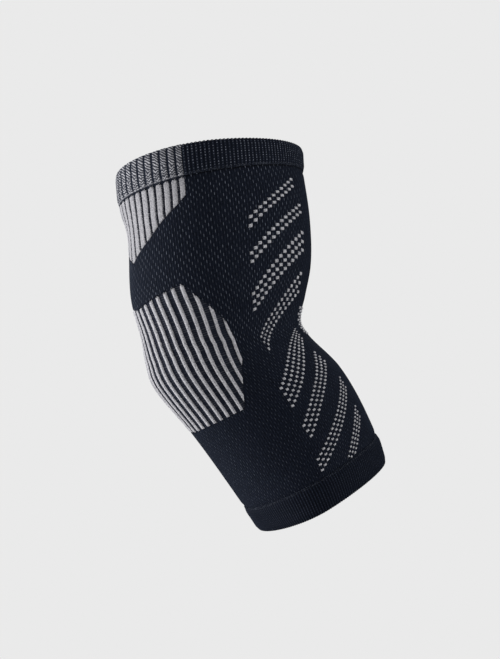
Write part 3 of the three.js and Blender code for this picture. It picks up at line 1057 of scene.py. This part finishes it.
insert_piece = knit_band(
    "melange_insert", UPPER_BAND_HEIGHT, at_top=True,
    columns=round(2 * INSERT_EDGE * INSERT_POINTS), around=around_insert,
    relief=0.4, rim_relief=0.05, is_ring=False)
dress(insert_piece, MARL, "melange_band", "upper_band_insert")
upper_band_piece = knit_band(
    "navy_upper_band", UPPER_BAND_HEIGHT, at_top=True,
    columns=NAVY_PART_RIBS * UPPER_BAND_POINTS, around=around_upper_band,
    relief=0.22, rim_relief=0.35, is_ring=False)
dress(upper_band_piece, NAVY_BAND, "navy_band", "upper_band")
lower_band_piece = knit_band(
    "navy_lower_band", LOWER_BAND_HEIGHT, at_top=False,
    columns=2 * LOWER_BAND_RIBS * LOWER_BAND_POINTS, around=around_lower_band,
    relief=0.3, rim_relief=0.15, is_ring=True)
dress(lower_band_piece, LOWER_NAVY, "navy_band", "lower_band")

# %% [markdown]
# ## Raised squares
#
# Eight slanted rows of small grey squares run along each side, laid out like a chessboard, so
# that their corners touch, and a broader field of them crosses the crease in front. They are
# floats of grey yarn that stand up from the knit. One square is modelled as a small pillow
# and copied, and each row of the chart says where its first and its last square sit and how
# the row bows between them. The far side mirrors the near one.

# %% One square
# Half of a square's width as a share of its cell, above the crease and from there down, the
# lift of its foot and its height.
UPPER_SHARE, LOWER_SHARE = 0.42, 0.385
SQUARE_BASE = -0.12
SQUARE_RISE = 0.8

# The pillow's height at its rim, on its shoulder and in the middle, how far a corner of the
# rim drops, and how far rim and shoulder reach out.
RIM_HEIGHT, SHOULDER_HEIGHT, MIDDLE_HEIGHT, CORNER_DROP = 0.32, 0.9, 1.0, 0.12
RIM_REACH, SHOULDER_REACH, CORNER_PULL = 0.97, 1.15, 0.06


def model_square():
    """The points and faces of one pillow, two wide and high, raised from a grid of 4 by 4."""
    deselect_all()
    bpy.ops.mesh.primitive_grid_add(x_subdivisions=4, y_subdivisions=4, size=2)
    square = bpy.context.object
    bpy.ops.object.mode_set(mode="EDIT")
    bpy.ops.mesh.select_all(action="SELECT")
    bpy.ops.mesh.extrude_region_move(TRANSFORM_OT_translate={"value": (0, 0, 1)})
    bpy.ops.mesh.select_all(action="SELECT")
    bpy.ops.mesh.normals_make_consistent(inside=False)
    bpy.ops.object.mode_set(mode="OBJECT")
    mesh = square.data
    points = np.zeros(len(mesh.vertices) * 3)
    mesh.vertices.foreach_get("co", points)
    points = points.reshape(-1, 3)
    x, y, z = points.T
    far = np.maximum(np.abs(x), np.abs(y))
    is_top, is_rim, is_shoulder = z > 0.5, far > 0.9, far > 0.4
    corner = np.minimum(np.abs(x), np.abs(y))
    height = np.where(is_rim, RIM_HEIGHT - CORNER_DROP * corner,
                      np.where(is_shoulder, SHOULDER_HEIGHT, MIDDLE_HEIGHT))
    reach = np.where(is_rim, RIM_REACH - CORNER_PULL * corner, SHOULDER_REACH)
    pull = np.where(is_top, reach, 1.0)
    shaped = np.stack([x * pull, y * pull, np.where(is_top, height, 0)], axis=1)
    faces = [tuple(p.vertices) for p in mesh.polygons]
    bpy.data.objects.remove(square)
    bpy.data.meshes.remove(mesh)
    return shaped, np.array(faces)


SQUARE_POINTS, SQUARE_FACES = model_square()
print(f"One square: {len(SQUARE_POINTS)} points, {len(SQUARE_FACES)} faces")

# %% The chart of the squares
# How many columns and ranks a row has, and then, each as (t, turn), where its first and its
# last square sit, how far the row bows between them, and the size of one course.
SquareRow = namedtuple("SquareRow", "columns ranks first last bow course")
SQUARE_ROWS = (
    SquareRow(11, 2, (0.236, 0.494), (0.129, 0.700), (-0.003, -0.003), (0.0100, -0.0005)),
    SquareRow(13, 2, (0.312, 0.497), (0.199, 0.727), (-0.001, -0.010), (0.0090, 0.0015)),
    SquareRow(14, 3, (0.407, 0.501), (0.268, 0.740), (-0.008, -0.009), (0.0105, 0.0015)),
    SquareRow(15, 3, (0.542, 0.529), (0.371, 0.747), (-0.007, -0.015), (0.0125, -0.0005)),
    SquareRow(18, 4, (0.682, 0.448), (0.548, 0.732), (0.001, 0.008), (0.0075, -0.0010)),
    SquareRow(19, 3, (0.777, 0.436), (0.640, 0.718), (-0.006, 0.011), (0.0070, 0.0010)),
    SquareRow(20, 3, (0.860, 0.417), (0.721, 0.738), (-0.001, 0.019), (0.0070, -0.0015)),
    SquareRow(13, 3, (0.895, 0.546), (0.802, 0.723), (-0.003, 0.003), (0.0070, -0.0020)),
)
CREASE_TOP, CREASE_STEP, CREASE_RANKS = 0.468, 0.0102, 12
CREASE_COLUMNS, CREASE_TURN = 21, 0.0195


def lay_squares(row):
    """t, turn and height of all points of one slanted row, short of the lower band. The next
    rank lies two courses down, because every other cell of the chessboard is bare."""
    column, rank = np.meshgrid(np.arange(row.columns), np.arange(row.ranks), indexing="ij")
    x, y, z = SQUARE_POINTS.T
    share = UPPER_SHARE if row.first[0] < CREASE_TOP else LOWER_SHARE
    across = column.reshape(-1, 1) + share * x
    courses = 2 * rank.reshape(-1, 1) + share * (x - y)
    steps = row.columns - 1

    def place(first, last, bow, course):
        return (first + (last - first) * across / steps + course * courses
                + 4 * bow * across * (steps - across) / steps ** 2)

    t, turn = (place(*values) for values in zip(row.first, row.last, row.bow, row.course))
    keep = t.max(axis=1) < BODY_BOTTOM - 0.002
    return t[keep], turn[keep], np.broadcast_to(z, t.shape)[keep]


def lay_crease():
    """The chessboard over the crease of the elbow, in front."""
    column, rank = np.meshgrid(np.arange(CREASE_COLUMNS), np.arange(CREASE_RANKS), indexing="ij")
    lit = (column + rank) % 2 == 0
    column, rank = column[lit] - (CREASE_COLUMNS - 1) / 2, rank[lit]
    x, y, z = SQUARE_POINTS.T
    turn = 1 + CREASE_TURN * (column[:, None] + UPPER_SHARE * x[None, :])
    t = CREASE_TOP + CREASE_STEP * (rank[:, None] - UPPER_SHARE * y[None, :])
    return t, turn, np.broadcast_to(z, t.shape)


def raised_squares():
    """All squares as one mesh. A mirrored square's faces are turned to point outwards."""
    near = [lay_squares(row) for row in SQUARE_ROWS]
    t, turn, z = (np.vstack(parts) for parts in zip(*near))
    front_t, front_turn, front_z = lay_crease()
    count = len(t)
    t = np.vstack([t, t, front_t])
    turn = np.vstack([turn, -turn, front_turn])
    z = np.vstack([z, z, front_z])
    points = on_arm(t.ravel(), turn.ravel(), (SQUARE_BASE + SQUARE_RISE * z).ravel())
    faces = SQUARE_FACES[None] + (np.arange(len(t)) * len(SQUARE_POINTS))[:, None, None]
    faces[count:2 * count] = faces[count:2 * count, :, ::-1]
    mesh = bpy.data.meshes.new("raised_squares")
    mesh.from_pydata(points.tolist(), [], faces.reshape(-1, 4).tolist())
    across = np.tile(SQUARE_POINTS[:, 0], len(t))
    up = np.tile(SQUARE_POINTS[:, 1], len(t))
    corners = np.zeros(len(mesh.loops), int)
    mesh.loops.foreach_get("vertex_index", corners)
    layer = mesh.uv_layers.new(name=UV_NAME)
    layer.data.foreach_set("uv", np.stack([across, up], axis=1)[corners].ravel())
    piece = bpy.data.objects.new("raised_squares", mesh)
    bpy.context.scene.collection.objects.link(piece)
    pick(piece)
    bpy.ops.object.shade_smooth_by_angle(angle=math.radians(75))
    return piece, len(t)


# %% The finish of the squares
SQUARE_SHADE, SQUARE_LIGHT = linear(150, 150, 156), linear(212, 212, 216)
# The dark of the painted shade at each square's edge, and the little darker middle.
SQUARE_EDGE_SHADE, SQUARE_DENT = linear(60, 62, 70), linear(70, 72, 80)


def square_finish():
    """Marled grey, a little darker in its middle, and painted dark at its edge as painted shade."""
    finish = Finish("square_grey")
    x, y = finish.counts()
    away = abs(x).larger(abs(y))
    centre = (x * x + y * y).rise(0.14, 0.03)
    marl = finish.grain(0.5, 3.0).rise(0.35, 0.65)
    yarn = finish.mix(marl, SQUARE_SHADE, SQUARE_LIGHT)
    ragged = away + (marl - 0.5) * 0.2
    # Painted shade round the edge, where the pillow falls away.
    colour = finish.mix(ragged.rise(0.75, 1.0), yarn, SQUARE_EDGE_SHADE)
    colour = finish.mix(centre * 0.3, colour, SQUARE_DENT)
    fabric(finish, GREY_ROUGHNESS)
    finish.drive(Base_Color=colour, Normal=finish.raise_by(marl, 0.08))
    return finish.material


squares, square_count = raised_squares()
dress(squares, square_finish(), "grey_rib")
print("Squares:", square_count)

# %% [markdown]
# ## The knit as a sheet
#
# The body is a real piece of cloth: opened out and relaxed it is a flat piece a little
# narrower than the arm is round, because the brace is worn stretched.

# %% [markdown]
# ## Floor and light
#
# The brace hangs in front of an even pale grey, as on a hidden arm, with a plain pale floor
# under it. Navy knit swallows light, so the picture is made by soft light from both sides,
# which catches the fibre at a shallow angle and leaves the part that faces us dark.

# %% Floor
BACKGROUND = linear(234, 234, 234)
FLOOR_REFLECTS = linear(0, 0, 0)
FLOOR_Z = -0.26
FLOOR_RADIUS = 4.0


def plain_stage():
    """A pale floor that only glows, so that it meets the background without an edge and no
    light shows on it. It casts no shadow either, because the lights reach below it."""
    deselect_all()
    bpy.ops.mesh.primitive_circle_add(
        vertices=96, radius=FLOOR_RADIUS, fill_type="NGON", location=(0, 0, FLOOR_Z))
    floor = bpy.context.object
    floor.name = "floor"
    floor.visible_diffuse = floor.visible_glossy = floor.visible_shadow = False
    finish = Finish("pale_floor")
    finish.fix(Base_Color=FLOOR_REFLECTS, Roughness=1.0, Specular_IOR_Level=0.0,
               Emission_Color=BACKGROUND, Emission_Strength=1.0)
    floor.data.materials.append(finish.material)
    return floor


plain_stage()

# %% World and lights
AMBIENT = 0.15
BRACE_MIDDLE = (cad_low + cad_high) / 2


def even_background():
    """The camera sees the pale grey, and the brace is lit by a dimmer white all round."""
    world = bpy.data.worlds.new("even_grey")
    world.use_nodes = True
    bpy.context.scene.world = world
    nodes, links = world.node_tree.nodes, world.node_tree.links
    seen = nodes["Background"]
    seen.inputs["Color"].default_value = BACKGROUND
    light = nodes.new("ShaderNodeBackground")
    light.inputs["Color"].default_value = (1, 1, 1, 1)
    light.inputs["Strength"].default_value = AMBIENT
    path, mix = nodes.new("ShaderNodeLightPath"), nodes.new("ShaderNodeMixShader")
    links.new(path.outputs["Is Camera Ray"], mix.inputs[0])
    links.new(light.outputs[0], mix.inputs[1])
    links.new(seen.outputs[0], mix.inputs[2])
    links.new(mix.outputs[0], nodes["World Output"].inputs["Surface"])


def soft_light(name, place, power, width, height):
    """A panel of so many watts and metres that faces the brace."""
    data = bpy.data.lights.new(name, "AREA")
    data.shape, data.size, data.size_y, data.energy = "RECTANGLE", width, height, power
    light = bpy.data.objects.new(name, data)
    bpy.context.scene.collection.objects.link(light)
    light.location = place
    back = light.location - BRACE_MIDDLE
    light.rotation_euler = back.to_track_quat("Z", "Y").to_euler()


even_background()
soft_light("left_back", (-1.12, 0.55, -0.32), 28, 0.7, 1.2)
soft_light("right_side", (1.05, -0.68, 0.1), 7.5, 0.8, 1.0)
soft_light("front_soft", (-0.35, -1.25, 0.0), 7, 1.0, 1.0)
soft_light("top_back", (0.0, 0.65, 1.12), 22, 1.0, 1.0)

# %% [markdown]
# ## The camera
#
# The brace is seen from its side, a little from behind and from below, through a long lens.
# The camera is given by where it stands round the brace, which is easier to match to a
# picture than three coordinates and three angles.

# %% Camera
AZIMUTH, ELEVATION = math.radians(-23.5), math.radians(-10.72)
DISTANCE = 0.795
AIM = (0.016, 0, 0)
LENS = 72.38
SHIFT_X = 0.0023


def photo_camera():
    data = bpy.data.cameras.new("camera")
    data.lens, data.sensor_width, data.shift_x = LENS, 36, SHIFT_X
    data.clip_start, data.clip_end = 0.01, 20
    camera = bpy.data.objects.new("camera", data)
    bpy.context.scene.collection.objects.link(camera)
    back = Vector((
        math.sin(AZIMUTH) * math.cos(ELEVATION), -math.cos(AZIMUTH) * math.cos(ELEVATION),
        math.sin(ELEVATION)))
    camera.location = Vector(AIM) + back * DISTANCE
    camera.rotation_euler = back.to_track_quat("Z", "Y").to_euler()
    bpy.context.scene.camera = camera
    bpy.context.scene.view_settings.view_transform = "Standard"


photo_camera()
print(f"Camera: {LENS} mm lens, {DISTANCE} m from the brace")
